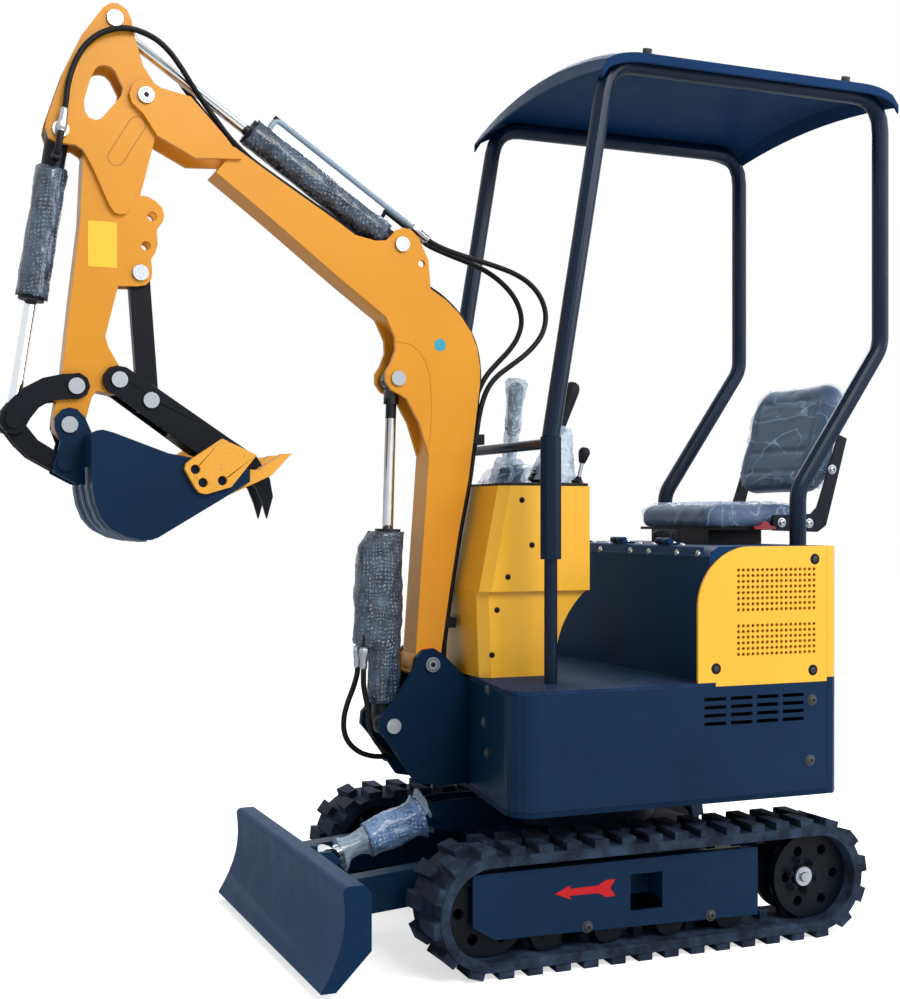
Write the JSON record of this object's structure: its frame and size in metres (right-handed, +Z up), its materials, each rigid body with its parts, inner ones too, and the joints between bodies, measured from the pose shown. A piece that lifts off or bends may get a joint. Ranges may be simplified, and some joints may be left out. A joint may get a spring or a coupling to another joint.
{
  "type": "mini excavator",
  "caption": "Mini excavator on rubber tracks with a slewing house, canopy and seat, a cranked boom, arm, bucket with thumb and a dozer blade, all on working joints and cylinders.",
  "frame": {"origin": "on the ground under the slew axis", "axes": "+X forward to the blade and boom, +Y to the machine's left, +Z up"},
  "size_m": [2.2724, 0.956, 2.2752],
  "materials": {
    "yellow_paint": "satin",
    "navy_paint": "satin",
    "black_paint": "satin",
    "blade_paint": "satin",
    "pin_steel": "satin",
    "rod_chrome": "polished",
    "track_rubber": "matte",
    "floor_mat": "matte",
    "engine_iron": "rough",
    "seat_cover": "satin",
    "cylinder_paint": "satin",
    "grip_plastic": "matte",
    "hose_rubber": "matte"
  },
  "bodies": {
    "undercarriage": {"car_body": "navy_paint", "slew_ring": "navy_paint", "track_left": "track_rubber", "track_right": "track_rubber", "track_frames": "navy_paint", "track_wheels": "black_paint", "rollers": "black_paint"},
    "house": {"deck": "navy_paint", "floor_plate": "floor_mat", "skirts": "navy_paint", "counterweight": "navy_paint", "boom_bracket": "navy_paint", "house_pins": "pin_steel", "engine": "engine_iron", "hood": "navy_paint", "side_panels": "yellow_paint", "rear_cover": "yellow_paint", "console": "yellow_paint", "levers": "grip_plastic", "canopy_frame": "navy_paint", "roof": "navy_paint", "hose_lift_a": "hose_rubber", "hose_lift_b": "hose_rubber"},
    "seat": {"seat_deck": "navy_paint", "seat_frame": "black_paint", "seat_cushion": "seat_cover", "seat_back": "seat_cover"},
    "boom": {"boom": "yellow_paint", "boom_pins": "pin_steel", "hose_arm_a": "hose_rubber", "hose_arm_b": "hose_rubber", "hose_bucket_a": "hose_rubber", "hose_bucket_b": "hose_rubber", "hose_foot_a": "hose_rubber", "hose_foot_b": "hose_rubber"},
    "boom_cylinder": {"boom_barrel": "cylinder_paint"},
    "boom_piston": {"boom_rod": "rod_chrome"},
    "arm": {"arm": "yellow_paint", "arm_pins": "pin_steel", "thumb": "black_paint"},
    "arm_cylinder": {"arm_barrel": "cylinder_paint"},
    "arm_piston": {"arm_rod": "rod_chrome"},
    "bucket": {"bucket": "navy_paint", "teeth": "yellow_paint"},
    "bucket_cylinder": {"bucket_barrel": "cylinder_paint"},
    "bucket_piston": {"bucket_rod": "rod_chrome"},
    "rocker": {"rocker": "black_paint"},
    "link": {"link": "black_paint"},
    "blade": {"blade": "blade_paint", "blade_arms": "navy_paint"},
    "blade_cylinder": {"blade_barrel": "cylinder_paint"},
    "blade_piston": {"blade_rod": "rod_chrome"}
  },
  "joints": [
    {"name": "slew", "type": "hinge", "parent": "undercarriage", "child": "house", "pos_m": [0, 0, 0], "axis": [0, 0, 1], "continuous": true},
    {"name": "boom_lift", "type": "hinge", "parent": "house", "child": "boom", "pos_m": [0.444, 0, 0.688], "axis": [0, 1, 0], "range_deg": [0, 72], "deforming": ["hose_arm_a", "hose_arm_b", "hose_foot_a", "hose_foot_b"]},
    {"name": "arm_swing", "type": "hinge", "parent": "boom", "child": "arm", "pos_m": [1.16475, 0, 2.05975], "axis": [0, -1, 0], "range_deg": [-10, 90], "deforming": ["hose_bucket_a", "hose_bucket_b"]},
    {"name": "bucket_curl", "type": "hinge", "parent": "arm", "child": "bucket", "pos_m": [1.33995, 0, 1.27735], "axis": [0, -1, 0], "range_deg": [0, 110]},
    {"name": "blade_lift", "type": "hinge", "parent": "undercarriage", "child": "blade", "pos_m": [0.395, 0, 0.178], "axis": [0, 1, 0], "range_deg": [-16, 14]},
    {"name": "seat_tip", "type": "hinge", "parent": "house", "child": "seat", "pos_m": [-0.138, 0, 1.001], "axis": [0, 1, 0], "range_deg": [0, 50]},
    {"name": "boom_cylinder_turn", "type": "hinge", "parent": "house", "child": "boom_cylinder", "pos_m": [0.5494, 0, 0.53765], "axis": [0, 1, 0], "range_deg": [-1, 66], "deforming": ["hose_lift_a", "hose_lift_b"]},
    {"name": "boom_piston_slide", "type": "slide", "parent": "boom_cylinder", "child": "boom_piston", "axis": [-0.0283, 0, 0.9996], "range_m": [-0.195, 0.005]},
    {"name": "arm_cylinder_turn", "type": "hinge", "parent": "boom", "child": "arm_cylinder", "pos_m": [0.51375, 0, 1.75595], "axis": [0, 1, 0], "range_deg": [-9, 2]},
    {"name": "arm_piston_slide", "type": "slide", "parent": "arm_cylinder", "child": "arm_piston", "axis": [0.8322, 0, 0.5544], "range_m": [-0.262, 0.034]},
    {"name": "rocker_turn", "type": "hinge", "parent": "arm", "child": "rocker", "pos_m": [1.32395, 0, 1.36775], "axis": [0, 1, 0], "range_deg": [-66, 1]},
    {"name": "link_turn", "type": "hinge", "parent": "rocker", "child": "link", "pos_m": [1.46555, 0, 1.28535], "axis": [0, 1, 0], "range_deg": [-1, 26]},
    {"name": "bucket_cylinder_turn", "type": "hinge", "parent": "arm", "child": "bucket_cylinder", "pos_m": [1.35995, 0, 1.96295], "axis": [0, 1, 0], "range_deg": [-5, 1]},
    {"name": "bucket_piston_slide", "type": "slide", "parent": "bucket_cylinder", "child": "bucket_piston", "axis": [0.154, 0, -0.9881], "range_m": [-0.178, 0.005]},
    {"name": "blade_cylinder_turn", "type": "hinge", "parent": "undercarriage", "child": "blade_cylinder", "pos_m": [0.42, 0, 0.296], "axis": [0, 1, 0], "range_deg": [-17, 15]},
    {"name": "blade_piston_slide", "type": "slide", "parent": "blade_cylinder", "child": "blade_piston", "axis": [0.951, 0, -0.3091], "range_m": [-0.038, 0.034]}
  ],
  "couplings": [
    {"joint": "boom_cylinder_turn", "follows": "boom_lift", "ratio": 0.8906},
    {"joint": "boom_piston_slide", "follows": "boom_lift", "m_per_rad": -0.15045},
    {"joint": "arm_cylinder_turn", "follows": "arm_swing", "ratio": -0.0841},
    {"joint": "arm_piston_slide", "follows": "arm_swing", "m_per_rad": -0.1621},
    {"joint": "rocker_turn", "follows": "bucket_curl", "ratio": -0.5899},
    {"joint": "link_turn", "follows": "bucket_curl", "ratio": 0.2249},
    {"joint": "bucket_cylinder_turn", "follows": "bucket_curl", "ratio": -0.0361},
    {"joint": "bucket_piston_slide", "follows": "bucket_curl", "m_per_rad": -0.08945},
    {"joint": "blade_cylinder_turn", "follows": "blade_lift", "ratio": 0.9638},
    {"joint": "blade_piston_slide", "follows": "blade_lift", "m_per_rad": 0.11907}
  ]
}
